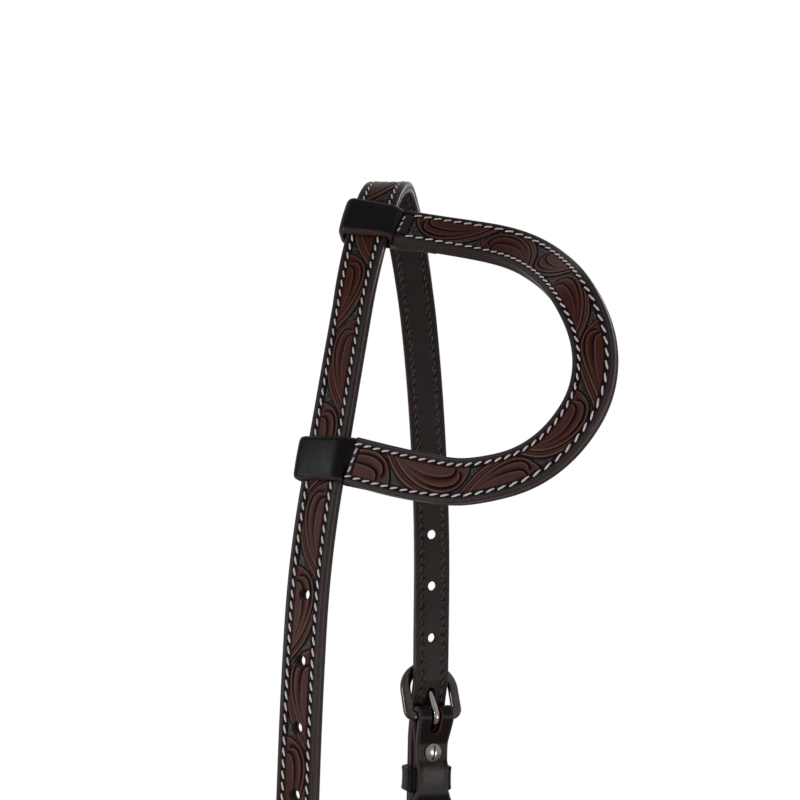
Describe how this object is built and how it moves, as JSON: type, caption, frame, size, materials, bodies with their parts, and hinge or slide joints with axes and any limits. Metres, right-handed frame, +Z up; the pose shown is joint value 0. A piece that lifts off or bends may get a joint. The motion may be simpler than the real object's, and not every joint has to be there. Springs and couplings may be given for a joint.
{
  "type": "western headstall",
  "caption": "One-ear western headstall: a folded crown strap with a shaped sliding ear piece, and two flared cheeks with buckles, keepers and looped bit ends.",
  "frame": {"origin": "underside of the crown strap at its highest point, where it rests on the horse's poll", "axes": "+Z up, +X towards the horse's nose, -Y the horse's right side, where the ear piece is"},
  "size_m": [0.1524, 0.2228, 0.5091],
  "materials": {
    "tooled_leather": "oiled, carved and dyed red-brown over a black ground",
    "lining_leather": "plain, satin black-brown",
    "black_leather": "smooth glossy black",
    "dark_steel": "polished, dark",
    "screw_steel": "polished, slightly warm"
  },
  "bodies": {
    "headstall": {"crown_tooled_layer": "tooled_leather", "crown_lining": "lining_leather", "right_cheek_tooled": "tooled_leather", "right_cheek_lining": "lining_leather", "left_cheek_tooled": "tooled_leather", "left_cheek_lining": "lining_leather", "right_upper_buckle_end_post": "screw_steel", "right_upper_buckle_end_screw": "screw_steel", "right_lower_buckle_end_post": "screw_steel", "right_lower_buckle_end_screw": "screw_steel", "right_upper_bit_end_post": "screw_steel", "right_upper_bit_end_screw": "screw_steel", "right_lower_bit_end_post": "screw_steel", "right_lower_bit_end_screw": "screw_steel", "left_upper_buckle_end_post": "screw_steel", "left_upper_buckle_end_screw": "screw_steel", "left_lower_buckle_end_post": "screw_steel", "left_lower_buckle_end_screw": "screw_steel", "left_upper_bit_end_post": "screw_steel", "left_upper_bit_end_screw": "screw_steel", "left_lower_bit_end_post": "screw_steel", "left_lower_bit_end_screw": "screw_steel"},
    "ear_piece": {"ear_tooled_layer": "tooled_leather", "ear_lining": "lining_leather", "ear_upper_loop": "black_leather", "ear_lower_loop": "black_leather"},
    "right_buckle": {"right_buckle_frame": "dark_steel"},
    "right_tongue": {"right_buckle_tongue": "dark_steel"},
    "right_keeper_band": {"right_keeper": "black_leather"},
    "left_buckle": {"left_buckle_frame": "dark_steel"},
    "left_tongue": {"left_buckle_tongue": "dark_steel"},
    "left_keeper_band": {"left_keeper": "black_leather"}
  },
  "joints": [
    {"name": "ear_slide", "type": "slide", "parent": "headstall", "child": "ear_piece", "axis": [0.146, 0.3152, 0.9377], "range_m": [-0.0015, 0.0015]},
    {"name": "right_buckle_swing", "type": "hinge", "parent": "headstall", "child": "right_buckle", "pos_m": [-0.03468, -0.08013, -0.31129], "axis": [0.8908, -0.4541, -0.0169], "range_deg": [0, 3]},
    {"name": "right_tongue_swing", "type": "hinge", "parent": "right_buckle", "child": "right_tongue", "pos_m": [-0.03468, -0.08013, -0.31129], "axis": [0.8908, -0.4541, -0.0169], "range_deg": [0, 3]},
    {"name": "right_keeper_slide", "type": "slide", "parent": "headstall", "child": "right_keeper_band", "axis": [0.0316, 0.0249, 0.9992], "range_m": [-0.0018, 0]},
    {"name": "left_buckle_swing", "type": "hinge", "parent": "headstall", "child": "left_buckle", "pos_m": [0.01753, 0.08299, -0.26784], "axis": [-0.9, -0.434, 0.04], "range_deg": [0, 3]},
    {"name": "left_tongue_swing", "type": "hinge", "parent": "left_buckle", "child": "left_tongue", "pos_m": [0.01753, 0.08299, -0.26784], "axis": [-0.9, -0.434, 0.04], "range_deg": [0, 3]},
    {"name": "left_keeper_slide", "type": "slide", "parent": "headstall", "child": "left_keeper_band", "axis": [0.0226, 0.045, 0.9987], "range_m": [-0.0018, 0]}
  ]
}
